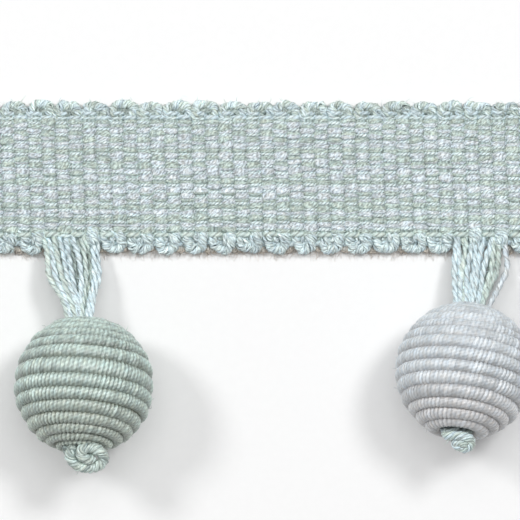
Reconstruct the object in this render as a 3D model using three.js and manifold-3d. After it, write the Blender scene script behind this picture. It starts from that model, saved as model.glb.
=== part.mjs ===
// A cut length of beaded fringe trim, lying face up on a surface.
// A ribbed braid heading has a row of weft loops along each edge. At two places its weft runs out in a
// long skein that is threaded through a ball wound with gimp cord and tied in a knot below the ball.
// Units are millimetres. +X runs along the heading, +Y points from the balls to the heading and +Z is up,
// away from the surface. The origin is in the middle of the heading's flat back.
import * as THREE from "three";
import { mergeVertices } from "three/addons/utils/BufferGeometryUtils.js";
import Module from "manifold-3d";

const wasm = await Module();
wasm.setup();

// Heading: one rib for each pass of the weft, and one edge loop for each pair of passes.
const RIB_PITCH = 1.888;
const RIBS = 60;
const WARP_WIDTH = 17.45;
const RIB_HEIGHT = 2.2;
const RIB_VALLEY = 1.65;
const EDGE_CREASE = 1.3;
const LOOP_HEIGHT = 1.75;
const TOP_LOOP_REACH = 1.66;
const BOTTOM_LOOP_REACH = 2.2;
const LOOP_NOTCH = 0.5; // share of a loop's reach that is lost where two loops meet
const LOOP_UNDERCUT = 0.3; // how far a loop's foot stands back under its outer side
const SHOULDER = 0.5; // from the warp's outer edge to the full height of a rib
const STEPS_PER_RIB = 4;

// Skein: the weft's long loops, which take the place of two edge loops.
const SKEIN_RIBS = 4;
const YARNS_PER_RIB = 3;
const SKEIN_EDGE = 0.12; // what is left of the loop's reach behind a skein
const ROOT_DEPTH = 1.75;
const ROOT_HEIGHT = 1.5;
const ROOT_BACK = 1.05; // height of the root's side towards the heading
const ROOT_FRONT = 0.9; // height of the root's side towards the ball
const ROOT_SPREAD = 0.9; // root positions as a share of the ribs' own positions
const YARN_STEP = 0.5; // from one yarn of a rib to the next at the root
const YARN_LIFT = 0.25; // height from one yarn of a rib to the next where they leave the root
const STRAND_SIDE = 0.55;
const STRAND_STEPS = 6;
const NECK_STEP = 0.8; // from one strand to the next where they run into the ball
const NECK_OUT = 0.9; // from the ball to where the strands come side by side
const CORE_OUT = 0.27; // how far the gathered skein stands out of the ball towards the heading
const CORE_RADIUS = 2.0;
const CORE_SIDES = 12;

// Ball: gimp cord wound in rings side by side over a round mould with a bore.
const BALL_DIAMETER = 19.2;
const BORE_RADIUS = 2.35;
const COILS = 13;
const COIL_RELIEF = 0.42;
const STEPS_PER_COIL = 4;
const BALL_SEGMENTS = 30;
const COIL_SLANT = 0.5; // share of a coil's width that a ring falls across the side that shows
const FLAT_SPOT = 0.3; // how far the ball is pressed flat where it rests

const GAP = 0.3; // between neighbouring pieces
const ROUNDING = 0.65; // power of a sine that gives ribs and coils their round tops

// One row for each drop. Places are measured from the middle of the skein's root.
const DROPS = [
  { name: "sage", rootRib: -15, ballX: 1.85, ballY: -20.1, tilt: 16, lean: 4, knot: "curl" },
  { name: "lilac", rootRib: 15, ballX: -2.45, ballY: -18.2, tilt: 20, lean: -6, knot: "stack" },
];

// The rings of rope that make up each kind of knot, measured from where the bore's line leaves the ball:
// along that line, to the side and over it. face turns a ring from lying across the line (0) to facing
// up (90).
const KNOT_RINGS = {
  curl: [
    { along: 1.5, side: 0.35, over: 1.2, face: 54, radius: 1.3, rope: 0.75 },
    { along: 0.8, side: -1.1, over: 0.5, face: 12, radius: 0.9, rope: 0.7 },
  ],
  stack: [
    { along: 0.6, side: 0.1, over: 0.2, face: 6, radius: 1.5, rope: 0.75 },
    { along: 1.8, side: 0.5, over: 0.1, face: 10, radius: 0.75, rope: 0.7 },
  ],
};
const RING_SEGMENTS = 18;
const ROPE_SIDES = 8;

const COLOURS = { heading: 0xbcc9c8, sage: 0xa3b1ab, lilac: 0xc3c8cd, skein: 0xc0d2d2 };

const UP = new THREE.Vector3(0, 0, 1);
const HALF_WARP = WARP_WIDTH / 2;

function yarnMaterial(colour) {
  return new THREE.MeshStandardMaterial({ color: colour, roughness: 0.8, metalness: 0 });
}

// A closed solid from a geometry whose shared corners are merged.
function solidOf(geometry) {
  const bare = geometry.clone();
  bare.deleteAttribute("normal");
  bare.deleteAttribute("uv");
  const merged = mergeVertices(bare, 1e-4);
  const mesh = new wasm.Mesh({
    numProp: 3,
    vertProperties: new Float32Array(merged.attributes.position.array),
    triVerts: new Uint32Array(merged.index.array),
  });
  return new wasm.Manifold(mesh);
}

// Several overlapping geometries as one geometry.
function join(geometries) {
  const joined = geometries.map(solidOf).reduce((whole, piece) => whole.add(piece));
  const mesh = joined.getMesh();
  return new THREE.BufferGeometry()
    .setAttribute("position", new THREE.BufferAttribute(new Float32Array(mesh.vertProperties), 3))
    .setIndex(new THREE.BufferAttribute(new Uint32Array(mesh.triVerts), 1));
}

// A closed skin over a row of sections. Each section is a ring of the same number of points.
function loft(sections) {
  const ring = sections[0].length;
  const points = sections.flat();
  const faces = [];
  for (let s = 0; s + 1 < sections.length; s++) {
    for (let i = 0; i < ring; i++) {
      const a = s * ring + i;
      const b = s * ring + ((i + 1) % ring);
      faces.push(a, b, b + ring, a, b + ring, a + ring);
    }
  }
  const outline = sections[0].map((p) => new THREE.Vector2(p.y, p.z));
  const last = (sections.length - 1) * ring;
  for (const [a, b, c] of THREE.ShapeUtils.triangulateShape(outline, [])) {
    faces.push(a, c, b);
    faces.push(last + a, last + b, last + c);
  }
  return new THREE.BufferGeometry().setFromPoints(points).setIndex(faces);
}

// How high a rib stands, from 0 in the valley between two ribs to 1 on its crest.
function ribShape(ribPlace) {
  const across = ribPlace - Math.floor(ribPlace);
  return Math.sin(Math.PI * across) ** ROUNDING;
}

// How far an edge loop reaches, from 1 in its middle to what its notch leaves.
// Loops are two ribs wide, with their middles on the rib borders that differ from first by an even number.
function loopShape(ribPlace, first) {
  const fromMiddle = Math.abs(ribPlace - first - 2 * Math.round((ribPlace - first) / 2));
  return 1 - LOOP_NOTCH * fromMiddle ** 3;
}

function isBehindSkein(ribPlace) {
  return DROPS.some((drop) => Math.abs(ribPlace - drop.rootRib) <= SKEIN_RIBS / 2);
}

// The heading's section at one place along it, anticlockwise seen from +X.
function headingSection(ribPlace) {
  const x = ribPlace * RIB_PITCH;
  const rib = RIB_VALLEY + (RIB_HEIGHT - RIB_VALLEY) * ribShape(ribPlace);
  const topReach = TOP_LOOP_REACH * loopShape(ribPlace, 1);
  const fullReach = BOTTOM_LOOP_REACH * loopShape(ribPlace, 0);
  const bottomReach = isBehindSkein(ribPlace) ? SKEIN_EDGE : fullReach;
  const edge = (side, reach) => {
    const outer = HALF_WARP + reach;
    const foot = outer - Math.min(LOOP_UNDERCUT, reach / 2);
    const crest = EDGE_CREASE + (LOOP_HEIGHT - EDGE_CREASE) * Math.min(1, reach / TOP_LOOP_REACH);
    return [
      new THREE.Vector3(x, side * foot, 0),
      new THREE.Vector3(x, side * outer, crest / 2),
      new THREE.Vector3(x, side * (HALF_WARP + reach / 2), crest),
      new THREE.Vector3(x, side * HALF_WARP, EDGE_CREASE),
      new THREE.Vector3(x, side * (HALF_WARP - SHOULDER), rib),
    ];
  };
  return [...edge(1, topReach), ...edge(-1, bottomReach).reverse()];
}

function heading() {
  const steps = RIBS * STEPS_PER_RIB;
  const sections = [];
  for (let i = 0; i <= steps; i++) sections.push(headingSection(i / STEPS_PER_RIB - RIBS / 2));
  const mesh = new THREE.Mesh(loft(sections), yarnMaterial(COLOURS.heading));
  mesh.name = "heading";
  return mesh;
}

// Where a drop's ball lies, and the line of its bore from the heading's side to the knot's side.
function ballPlace(drop) {
  const radius = BALL_DIAMETER / 2;
  const tilt = THREE.MathUtils.degToRad(drop.tilt);
  const lean = THREE.MathUtils.degToRad(drop.lean);
  const level = Math.cos(tilt);
  const axis = new THREE.Vector3(Math.sin(lean) * level, -Math.cos(lean) * level, Math.sin(tilt));
  const centre = new THREE.Vector3(drop.ballX, drop.ballY, radius - FLAT_SPOT);
  const side = new THREE.Vector3().crossVectors(axis, UP).normalize().negate();
  const over = new THREE.Vector3().crossVectors(side, axis).normalize();
  return { radius, axis, centre, side, over };
}

// The wound ball: rings of cord from mouth to mouth and the bore between, pressed flat on the surface.
function ball(drop) {
  const { radius, axis, centre, side, over } = ballPlace(drop);
  const mouth = Math.asin(BORE_RADIUS / radius);
  const coilAngle = (Math.PI - 2 * mouth) / COILS;
  const rows = COILS * STEPS_PER_COIL;
  const profile = [];
  for (let row = 0; row <= rows; row++) {
    const polar = mouth + (row / STEPS_PER_COIL) * coilAngle;
    const crest = Math.abs(Math.sin((Math.PI * row) / STEPS_PER_COIL)) ** ROUNDING;
    profile.push(new THREE.Vector2(radius - COIL_RELIEF * (1 - crest), polar));
  }
  const points = [];
  for (let segment = 0; segment < BALL_SEGMENTS; segment++) {
    const turn = (2 * Math.PI * segment) / BALL_SEGMENTS;
    const outward = side.clone().multiplyScalar(Math.cos(turn)).addScaledVector(over, Math.sin(turn));
    const slant = (COIL_SLANT / 2) * coilAngle * Math.cos(turn);
    for (const [row, { x: reach, y: polar }] of profile.entries()) {
      const fade = 1 - ((2 * row) / rows - 1) ** 4;
      const angle = polar + slant * fade;
      const point = centre.clone();
      point.addScaledVector(axis, -reach * Math.cos(angle));
      point.addScaledVector(outward, reach * Math.sin(angle));
      point.z = Math.max(point.z, 0);
      points.push(point);
    }
  }
  const ring = profile.length;
  const faces = [];
  for (let segment = 0; segment < BALL_SEGMENTS; segment++) {
    const next = (segment + 1) % BALL_SEGMENTS;
    for (let row = 0; row < ring; row++) {
      const below = (row + 1) % ring;
      const a = segment * ring + row;
      const b = next * ring + row;
      faces.push(a, segment * ring + below, next * ring + below, a, next * ring + below, b);
    }
  }
  const geometry = new THREE.BufferGeometry().setFromPoints(points).setIndex(faces);
  const mesh = new THREE.Mesh(geometry, yarnMaterial(COLOURS[drop.name]));
  mesh.name = `ball_${drop.name}`;
  return mesh;
}

// A bar with a rounded top that the skein's strands grow out of, where the edge loops would be.
function skeinRoot() {
  const half = (SKEIN_RIBS * RIB_PITCH) / 2 - GAP;
  const back = -SKEIN_EDGE - GAP;
  const front = back - ROOT_DEPTH;
  const section = new THREE.Shape([
    new THREE.Vector2(back, 0),
    new THREE.Vector2(back, ROOT_BACK),
    new THREE.Vector2((back + front) / 2, ROOT_HEIGHT),
    new THREE.Vector2(front, ROOT_FRONT),
    new THREE.Vector2(front + LOOP_UNDERCUT, 0),
  ]);
  const bar = new THREE.ExtrudeGeometry(section, { depth: 2 * half, steps: 1, bevelEnabled: false });
  // The section's x and y become the part's Y and Z, and the bar runs along X.
  const toPart = new THREE.Matrix4().set(0, 0, 1, -half, 1, 0, 0, 0, 0, 1, 0, 0, 0, 0, 0, 1);
  return bar.applyMatrix4(toPart);
}

// One square strand along a curve from the root to the gathered neck in front of the ball.
function strand(place, rib, yarn) {
  const ribX = (rib - (SKEIN_RIBS - 1) / 2) * RIB_PITCH;
  const layer = yarn - (YARNS_PER_RIB - 1) / 2;
  const rootX = ribX * ROOT_SPREAD + layer * YARN_STEP;
  const neck = place.centre.clone().addScaledVector(place.axis, -place.radius - NECK_OUT);
  neck.addScaledVector(place.side, (rib - (SKEIN_RIBS - 1) / 2) * NECK_STEP);
  neck.addScaledVector(place.over, layer * NECK_STEP);
  const start = new THREE.Vector3(rootX, -SKEIN_EDGE - GAP - ROOT_DEPTH / 2, ROOT_HEIGHT / 2);
  const leave = new THREE.Vector3(rootX, start.y - ROOT_DEPTH, ROOT_FRONT + YARN_LIFT * layer);
  const inside = neck.clone().addScaledVector(place.axis, NECK_OUT);
  const path = new THREE.CatmullRomCurve3([start, leave, neck, inside]);
  const half = STRAND_SIDE / 2;
  const square = new THREE.Shape([
    new THREE.Vector2(-half, -half),
    new THREE.Vector2(half, -half),
    new THREE.Vector2(half, half),
    new THREE.Vector2(-half, half),
  ]);
  return new THREE.ExtrudeGeometry(square, { steps: STRAND_STEPS, extrudePath: path });
}

// The gathered skein inside the bore, from the strands to the knot.
function skeinCore(place, tail) {
  const length = 2 * place.radius + CORE_OUT + tail;
  const core = new THREE.CylinderGeometry(CORE_RADIUS, CORE_RADIUS, length, CORE_SIDES);
  const middle = place.centre.clone().addScaledVector(place.axis, (tail - CORE_OUT) / 2);
  const turn = new THREE.Quaternion().setFromUnitVectors(new THREE.Vector3(0, 1, 0), place.axis);
  return core.applyQuaternion(turn).translate(middle.x, middle.y, middle.z);
}

// The rings of one knot, each a loop of rope beyond the ball's lower mouth.
function knotRings(place, kind) {
  return KNOT_RINGS[kind].map(({ along, side, over, face, radius, rope }) => {
    const centre = place.centre.clone();
    centre.addScaledVector(place.axis, place.radius + along);
    centre.addScaledVector(place.side, side);
    centre.addScaledVector(place.over, over);
    const turned = THREE.MathUtils.degToRad(face);
    const facing = place.axis.clone().multiplyScalar(Math.cos(turned));
    facing.addScaledVector(place.over, Math.sin(turned));
    const turn = new THREE.Quaternion().setFromUnitVectors(UP, facing);
    const ring = new THREE.TorusGeometry(radius, rope, ROPE_SIDES, RING_SEGMENTS);
    return ring.applyQuaternion(turn).translate(centre.x, centre.y, centre.z);
  });
}

// A skein: its root, its strands, the yarn through the ball and the knot that holds the ball.
function skein(drop) {
  const place = ballPlace(drop);
  const pieces = [skeinRoot()];
  for (let rib = 0; rib < SKEIN_RIBS; rib++) {
    for (let yarn = 0; yarn < YARNS_PER_RIB; yarn++) pieces.push(strand(place, rib, yarn));
  }
  const tail = Math.min(...KNOT_RINGS[drop.knot].map((ring) => ring.along));
  pieces.push(skeinCore(place, tail));
  pieces.push(...knotRings(place, drop.knot));
  const mesh = new THREE.Mesh(join(pieces), yarnMaterial(COLOURS.skein));
  mesh.name = `skein_${drop.name}`;
  return mesh;
}

const trim = new THREE.Group();
trim.add(heading());
for (const drop of DROPS) {
  const hung = new THREE.Group();
  hung.position.set(drop.rootRib * RIB_PITCH, -HALF_WARP, 0);
  hung.add(ball(drop), skein(drop));
  trim.add(hung);
}

export default trim;
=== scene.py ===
"""The looks of a beaded fringe trim: a ribbed braid with looped edges, twisted skeins and wound balls.

Sizes are in millimetres and become metres where a mesh is made. X runs along the heading, Y points from
the balls to the heading and Z is up. Every yarn is a tube swept along its own path, and all the yarns of one
kind are one mesh.
"""

import math

import bpy
import numpy as np
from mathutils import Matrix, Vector


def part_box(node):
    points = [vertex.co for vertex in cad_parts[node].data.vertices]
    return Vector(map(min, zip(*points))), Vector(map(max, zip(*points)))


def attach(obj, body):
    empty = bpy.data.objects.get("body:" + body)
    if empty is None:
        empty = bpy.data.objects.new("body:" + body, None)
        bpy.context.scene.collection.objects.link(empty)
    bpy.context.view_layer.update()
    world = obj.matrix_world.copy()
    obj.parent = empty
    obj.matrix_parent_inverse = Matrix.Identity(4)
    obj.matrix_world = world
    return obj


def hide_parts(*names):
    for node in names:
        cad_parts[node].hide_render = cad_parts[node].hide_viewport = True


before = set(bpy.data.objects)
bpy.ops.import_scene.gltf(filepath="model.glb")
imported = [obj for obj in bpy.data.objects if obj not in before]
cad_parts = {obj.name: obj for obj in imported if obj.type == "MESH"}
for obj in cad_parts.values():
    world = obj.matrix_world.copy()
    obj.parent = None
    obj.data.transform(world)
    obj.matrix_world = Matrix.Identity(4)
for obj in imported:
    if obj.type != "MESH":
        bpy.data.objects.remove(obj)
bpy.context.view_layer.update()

MM = 0.001
UP = np.array([0.0, 0.0, 1.0])

# Heading
RIB = 1.888  # one pass of the weft
RIBS = 60
STEPS_PER_RIB = 6  # steps of the ground and of each warp end
HALF_WARP = 8.725  # from the heading's middle to the edge of its warp
GROUND_INSET = 0.35  # how far inside that edge the woven ground ends
MIDDLE_Z = 1.1  # height of the weft's middle
ROWS = 18  # soft warp rows, each with a thin shiny end at the same place
ROW = 0.859
# The ribs lean in a slight S.
LEAN_SHIFT = 0.3
LEAN_REACH = 5.0
LEAN_OFFSET = 0.2
DIP_SHADE = 0.12  # how much darker a warp end is where it dips between ribs: painted shade in the crease
FLANK_GLOW = 0.14  # how much lighter the balls' side of a soft warp end is, and darker the other: painted light that evens out its shading

# Drops: the rib border in the middle of each skein, how the skein slopes into its ball in degrees, and how
# far its left strands arch up
DROPS = {
    "sage": {"root_rib": -15, "tilt": 16, "lean": 4, "arch": 1.4},
    "lilac": {"root_rib": 15, "tilt": 20, "lean": -6, "arch": 0.5},
}
SKEIN_WIDTH = 8.0

# Strands of each skein: first the ones behind, then the ones in front from left to right. The places are
# along X from the middle of the skein's root: where the strand leaves the heading, halfway down and where it
# goes under the ball. Lift says how high it lies among the others.
# Strands with the shade yarn are darker: painted shade where they show in the gaps between the others.
STRANDS = {
    "sage": [
        # root, middle, neck, lift, yarn
        (-2.60, -1.70, 0.00, -0.6, "shade"),
        (-1.75, -0.60, 0.75, -0.6, "sage"),
        (-0.25, 0.60, 1.10, -1.1, "shade"),
        (0.90, 1.10, 1.50, -1.0, "shade"),
        (2.15, 2.65, 1.80, -1.2, "sage"),
        (-3.75, -2.90, -0.60, 0.1, "mint"),
        (-3.15, -2.15, -0.10, 0.5, "pale"),
        (-2.40, -1.35, 0.40, 0.7, "mint"),
        (-1.65, -0.55, 0.80, 0.5, "pale"),
        (-0.90, 0.25, 1.10, 0.3, "pale"),
        (0.25, 1.35, 1.20, 0.8, "pale"),
        (1.55, 1.98, 1.45, 0.5, "mint"),
        (2.80, 3.25, 2.25, 0.6, "pale"),
        (3.55, 3.74, 2.85, 0.3, "pale"),
    ],
    "lilac": [
        (-2.50, -2.30, -2.40, -0.6, "sage"),
        (0.10, -0.90, -1.40, -0.7, "sage"),
        (1.80, 1.00, 0.00, -0.7, "shade"),
        (-3.35, -3.75, -3.70, 0.4, "pale"),
        (-3.05, -3.00, -2.95, 0.6, "pale"),
        (-2.00, -2.60, -2.60, 0.3, "mint"),
        (-1.25, -2.00, -2.20, 0.6, "pale"),
        (-0.40, -1.15, -1.60, 0.5, "pale"),
        (0.20, -0.45, -1.20, 0.7, "pale"),
        (1.45, 0.35, -0.60, 0.8, "pale"),
        (1.75, 1.30, 0.00, 0.3, "mint"),
        (2.45, 2.10, 0.40, 0.5, "sage"),
        (3.25, 3.52, 1.50, 0.3, "lilac"),
    ],
}
STRAND_RADIUS = 0.37
STRAND_LAY = 3.2  # length of one turn of a strand's twist
STRAND_LIFT = 0.45  # height that a lift of 1 stands for
STRAND_STRAY = 0.08
STRAND_STEPS = 130
STRAND_PLY = 0.22
UPPER_MOUTH_DEPTH = 0.8  # how far inside the ball's radius its upper mouth lies

# Knots: the middle line of each knot's rope, from the ball's lower mouth to the rope's end
KNOT_ROPES = {
    # X, Y and Z from the ball's middle
    "sage": [
        (-1.2, -7.5, 2.6), (-1.6, -8.6, 4.2), (-1.8, -9.7, 4.4), (-1.0, -10.8, 4.2), (0.4, -11.2, 4.0),
        (1.7, -11.1, 4.0), (2.6, -10.5, 4.2), (2.8, -9.7, 4.5), (2.2, -8.9, 4.9), (1.0, -8.5, 5.1),
        (-0.1, -8.7, 5.2), (-0.2, -9.5, 5.1), (0.6, -10.1, 4.7), (1.3, -9.9, 4.2),
    ],
    "lilac": [
        (-2.0, -7.4, 2.2), (-2.7, -8.3, 3.1), (-2.4, -8.8, 3.8), (-1.3, -8.7, 4.4), (0.0, -8.9, 4.6),
        (0.7, -9.3, 4.3), (0.7, -10.0, 3.9), (0.1, -10.5, 3.6), (-0.8, -10.3, 3.5), (-1.4, -9.8, 3.6),
        (-0.6, -9.7, 4.0), (0.3, -10.0, 4.1),
    ],
}
KNOT_RADIUS = {"sage": 0.73, "lilac": 0.62}
KNOT_LAY = {"sage": 3.4, "lilac": 4.5}  # length of one turn of the rope's twist
KNOT_STRAND_LAY = 2.0  # and of the twist of each of its strands
KNOT_OVERLAP = 1.15  # how far those strands reach into each other
KNOT_PLY = 0.2
KNOT_STEPS = 150
KNOT_YARNS = {
    "sage": ("sage", "mint", "sage", "shade", "mint", "sage"),
    "lilac": ("white", "pale", "mint", "pale", "mint", "sage"),
}
# The strands that come out of each ball's lower mouth and gather into the knot
MOUTH_STRANDS = 11
MOUTH_STEPS = 40
MOUTH_DEPTH = {"sage": -0.15, "lilac": 1.0}  # how deep in the mouth they bend towards the knot
# painted shade: how much darker the strands in each lower mouth are
MOUTH_SHADE = {"sage": 0.85, "lilac": 0.55}
MOUTH_RADIUS = {"sage": 2.6, "lilac": 1.9}
GOLDEN_ANGLE = math.radians(137.5)

# Balls: how the turns of cord lie, and where the gaps between them cross the front, counted from the upper
# mouth, in degrees
COIL_TILT = {"sage": 15, "lilac": 17}
COIL_LEAN = {"sage": -2, "lilac": -6}
COIL_GAPS = {
    "sage": (14.0, 24.3, 34.7, 46.2, 56.9, 67.0, 78.4, 93.6, 105.7, 116.7, 128.3, 139.5, 149.9, 158.5, 165.0),
    "lilac": (14.5, 24.9, 35.3, 45.7, 55.7, 64.2, 74.6, 85.1, 96.3, 106.9, 118.6, 130.7, 140.7, 151.8, 163.5),
}
CORD_START = -0.45  # the turn at which the cord begins
CORD_END = {"sage": 13.45, "lilac": 13.5}  # and the turn at which it ends
CORD_STEPS = 6001
CORD_HEIGHT = 1.0
CORD_FULLNESS = 0.94
CORD_TAPER = 5  # turns of thread over which the cord's ends narrow
CORD_FLANK = 0.6  # where a turn's flanks begin, as a share of its half width
CORD_WOBBLE = 0.009  # how far a turn strays from its place, in radians
WRAP_PITCH = 0.56  # one turn of the fine thread around the cord
WRAP_RINGS = 5  # rings of the cord's tube for one turn of the thread
WRAP_RUN = 4  # turns of thread that lie about equally plainly
WRAP_UNEVEN = 0.55  # how much more or less plainly the next ones lie
WRAP_HEIGHT = {"sage": 0.17, "lilac": 0.1}
WRAP_GLOW = {"sage": 1.0, "lilac": 0.65}  # painted highlight: how much lighter the crest of each turn of thread is
WRAP_SLANT = 0.2
# The lists below are for turns of cord at these angles from the upper mouth.
BAND_TURNS = np.radians([35, 55, 90, 120])
BAND_PLACES = [0.68, 0.41, 0.38, 0.27]  # where a turn's painted highlight is brightest, across it from the heading's side
BAND = {"sage": [1.2, 0.75, 0.6, 0.38], "lilac": [0.24, 0.22, 0.22, 0.2]}  # how much brighter the painted highlight is there, with painted shade elsewhere on the turn
CREVICE = {"sage": [0.3, 0.5, 0.8, 0.8], "lilac": [0.5, 0.6, 0.6, 0.6]}  # how far its flanks are in shade
CORD_OVERLAP = [1.35, 1.2, 1.08, 1.08]  # how far turns reach into each other
WRAP_SHARE = [0.4, 0.8, 1.0, 1.0]  # how plainly the thread shows
# The highest turns are a little darker, and the lowest are duller and browner: where that begins, and where
# it is full
HIGH_TURNS = np.radians([65, 45])
HIGH_SHADE = {"sage": 0.07, "lilac": 0.015}
LOW_TURNS = np.radians([104, 138])
LOW_SHADE = np.array([0.06, 0.12, 0.15])

FLOOR_CLEARANCE = 0.02

SEED = 11
rng = np.random.default_rng(SEED)


def srgb(red, green, blue):
    """A colour given as an 8-bit screen colour, in linear light."""
    level = np.array([red, green, blue]) / 255
    return np.where(level <= 0.04045, level / 12.92, ((level + 0.055) / 1.055) ** 2.4)


YARN = {
    "sage": srgb(199, 214, 207),
    "mint": srgb(213, 229, 223),
    "pale": srgb(218, 236, 241),
    "white": srgb(230, 247, 247),
    "silk": srgb(238, 254, 255),
    "lilac": srgb(220, 229, 234),
    "ground": srgb(178, 194, 190),
    # a darker yarn, painted shade for strands that lie in shade: behind a skein, in the upper loops' middles
    # and between their legs
    "shade": srgb(166, 181, 177),
    # painted shadow: the pale brown of the fibres that soften the shadow under the bottom loops
    "painted_shadow": srgb(236, 226, 216),
}
UNDERSIDE = {1: srgb(150, 160, 148), -1: srgb(172, 160, 146)}  # the shade under the loops of each edge
BALL_COLOUR = {"sage": srgb(177, 194, 187), "lilac": srgb(208, 215, 220)}
# painted shade: the colour in the gaps between a ball's turns of cord
BALL_CREVICE = {"sage": srgb(118, 120, 106), "lilac": srgb(166, 160, 157)}


def unit(vectors):
    """The same directions, each of length 1."""
    return vectors / np.maximum(np.linalg.norm(vectors, axis=-1, keepdims=True), 1e-12)


def wander(count, steps, every):
    """Smooth random curves around 0, each through a new random height after every so many steps."""
    knots = rng.normal(size=(count, steps // every + 3))
    at = np.arange(steps) / every
    first = at.astype(int)
    blend = at - first
    blend = blend * blend * (3 - 2 * blend)
    return knots[:, first] * (1 - blend) + knots[:, first + 1] * blend


def spline(controls, steps):
    """Smooth curves through each row of control points."""
    padded = np.concatenate([2 * controls[:, :1] - controls[:, 1:2], controls,
                             2 * controls[:, -1:] - controls[:, -2:-1]], axis=1)
    at = np.linspace(0, controls.shape[1] - 1, steps)
    first = np.minimum(at.astype(int), controls.shape[1] - 2)
    t = (at - first)[None, :, None]
    a, b, c, d = (padded[:, first + k] for k in range(4))
    return 0.5 * (2 * b + (c - a) * t + (2 * a - 5 * b + 4 * c - d) * t**2 + (3 * b - a - 3 * c + d) * t**3)


def evenly(paths, steps):
    """The same curves with their points at even distances."""
    even = []
    for path in paths:
        along = np.concatenate([[0], np.cumsum(np.linalg.norm(np.diff(path, axis=0), axis=1))])
        at = np.linspace(0, along[-1], steps)
        even.append(np.stack([np.interp(at, along, path[:, axis]) for axis in range(3)], axis=1))
    return np.array(even)


def smooth(controls, steps):
    """Smooth curves through each row of control points, with their points at even distances."""
    return evenly(spline(controls, 3 * steps), steps)


def lengths(paths):
    """The distance along each path to each of its points."""
    moves = np.linalg.norm(np.diff(paths, axis=1), axis=2)
    return np.concatenate([np.zeros((len(paths), 1)), np.cumsum(moves, axis=1)], axis=1)


def frames_along(paths, guide=None):
    """For each point of each path its direction, a direction to its side and one over it.

    With a guide, over leans towards the guide. Without one, the directions turn as little as they can.
    """
    ahead = unit(np.gradient(paths, axis=1))
    if guide is None:
        side = np.empty_like(ahead)
        side[:, 0] = unit(np.cross(UP, ahead[:, 0]))
        for k in range(1, paths.shape[1]):
            before = side[:, k - 1]
            side[:, k] = unit(before - (before * ahead[:, k]).sum(1, keepdims=True) * ahead[:, k])
    else:
        side = unit(np.cross(np.broadcast_to(guide, ahead.shape), ahead))
    return ahead, side, np.cross(ahead, side)


def even_section(sides):
    """The corners of a tube's section, as turns around it in radians."""
    return np.arange(sides) * 2 * math.pi / sides


ROUND = even_section(8)
# The cord's corners are close together on its outer half, which shows.
CORD_SECTION = np.radians([0, 22, 45, 67, 90, 113, 135, 158, 180, 225, 270, 315])


def sweep(paths, width, height, section, tint, guide=None, twist=None, ply=0.0, slant=0.0, fullness=1.0):
    """A closed tube along each path.

    section has an even number of corners. width and height are half sizes along each path. With twist, the
    section has two lobes of the share ply that turn with it, as a yarn of two plies does. slant pushes the
    two sides of a ring apart along the path. A section with a fullness of 1 is an ellipse, and one with less
    is nearer to a rectangle.
    """
    count, steps = paths.shape[:2]
    ahead, side, over = frames_along(paths, guide)
    sides = len(section)
    reach = np.ones((count, steps, sides))
    if twist is not None:
        reach += ply * np.cos(2 * (section - twist[..., None]))
    flank = np.sign(np.cos(section)) * np.abs(np.cos(section)) ** fullness
    face = np.sign(np.sin(section)) * np.abs(np.sin(section)) ** fullness
    across = np.broadcast_to(width, (count, steps))[..., None] * flank * reach
    upward = np.broadcast_to(height, (count, steps))[..., None] * face * reach
    out = across[..., None] * side[:, :, None] + upward[..., None] * over[:, :, None]
    points = paths[:, :, None] + out + slant * np.cos(section)[:, None] * ahead[:, :, None]

    index = np.arange(count * steps * sides).reshape(count, steps, sides)
    beside = np.roll(index, -1, axis=2)
    walls = np.stack([index[:, :-1], beside[:, :-1], beside[:, 1:], index[:, 1:]], axis=-1)
    fan = [(0, k, k + 1, k + 2) for k in range(1, sides - 2, 2)]
    start = index[:, 0][:, [corners[::-1] for corners in fan]]
    end = index[:, -1][:, fan]

    along = lengths(paths)
    around = np.arange(sides) / sides
    steps_of = np.stack(np.broadcast_arrays(along[:, :, None], around), axis=-1)
    next_side = steps_of + [0, 1 / sides]
    wall_uv = np.stack([steps_of[:, :-1], next_side[:, :-1], next_side[:, 1:], steps_of[:, 1:]], axis=-2)
    start_uv = steps_of[:, 0][:, [corners[::-1] for corners in fan]]
    end_uv = steps_of[:, -1][:, fan]
    tube = np.arange(count)
    return {
        "points": points.reshape(-1, 3),
        "out": unit(out).reshape(-1, 3),
        "quads": np.concatenate([part.reshape(-1, 4) for part in (walls, start, end)]),
        "uv": np.concatenate([part.reshape(-1, 4, 2) for part in (wall_uv, start_uv, end_uv)]),
        "tube": np.concatenate([np.repeat(tube, part[0].size // 4) for part in (walls, start, end)]),
        "tubes": count,
        "tint": np.broadcast_to(tint, (count, steps, sides, 3)).reshape(-1, 3),
    }


def join(parts):
    """Several sets of tubes as one set."""
    points = np.cumsum([0] + [len(part["points"]) for part in parts])
    tubes = np.cumsum([0] + [part["tubes"] for part in parts])
    return {
        "points": np.concatenate([part["points"] for part in parts]),
        "out": np.concatenate([part["out"] for part in parts]),
        "quads": np.concatenate([part["quads"] + first for part, first in zip(parts, points)]),
        "uv": np.concatenate([part["uv"] for part in parts]),
        "tube": np.concatenate([part["tube"] + first for part, first in zip(parts, tubes)]),
        "tubes": int(tubes[-1]),
        "tint": np.concatenate([part["tint"] for part in parts]),
    }


FIBRE = 0.036  # radius of a loose fibre at its root
FIBRE_TAPER = np.array([1.0, 0.9, 0.4])
FIBRE_GLOW = 1.06  # how much lighter a loose fibre is than its yarn


def fibres(controls, tint, radius):
    """Thin tapered tubes, each through three points."""
    width = radius * FIBRE_TAPER
    return sweep(controls, width, width, even_section(4), tint[:, None, None])


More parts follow.
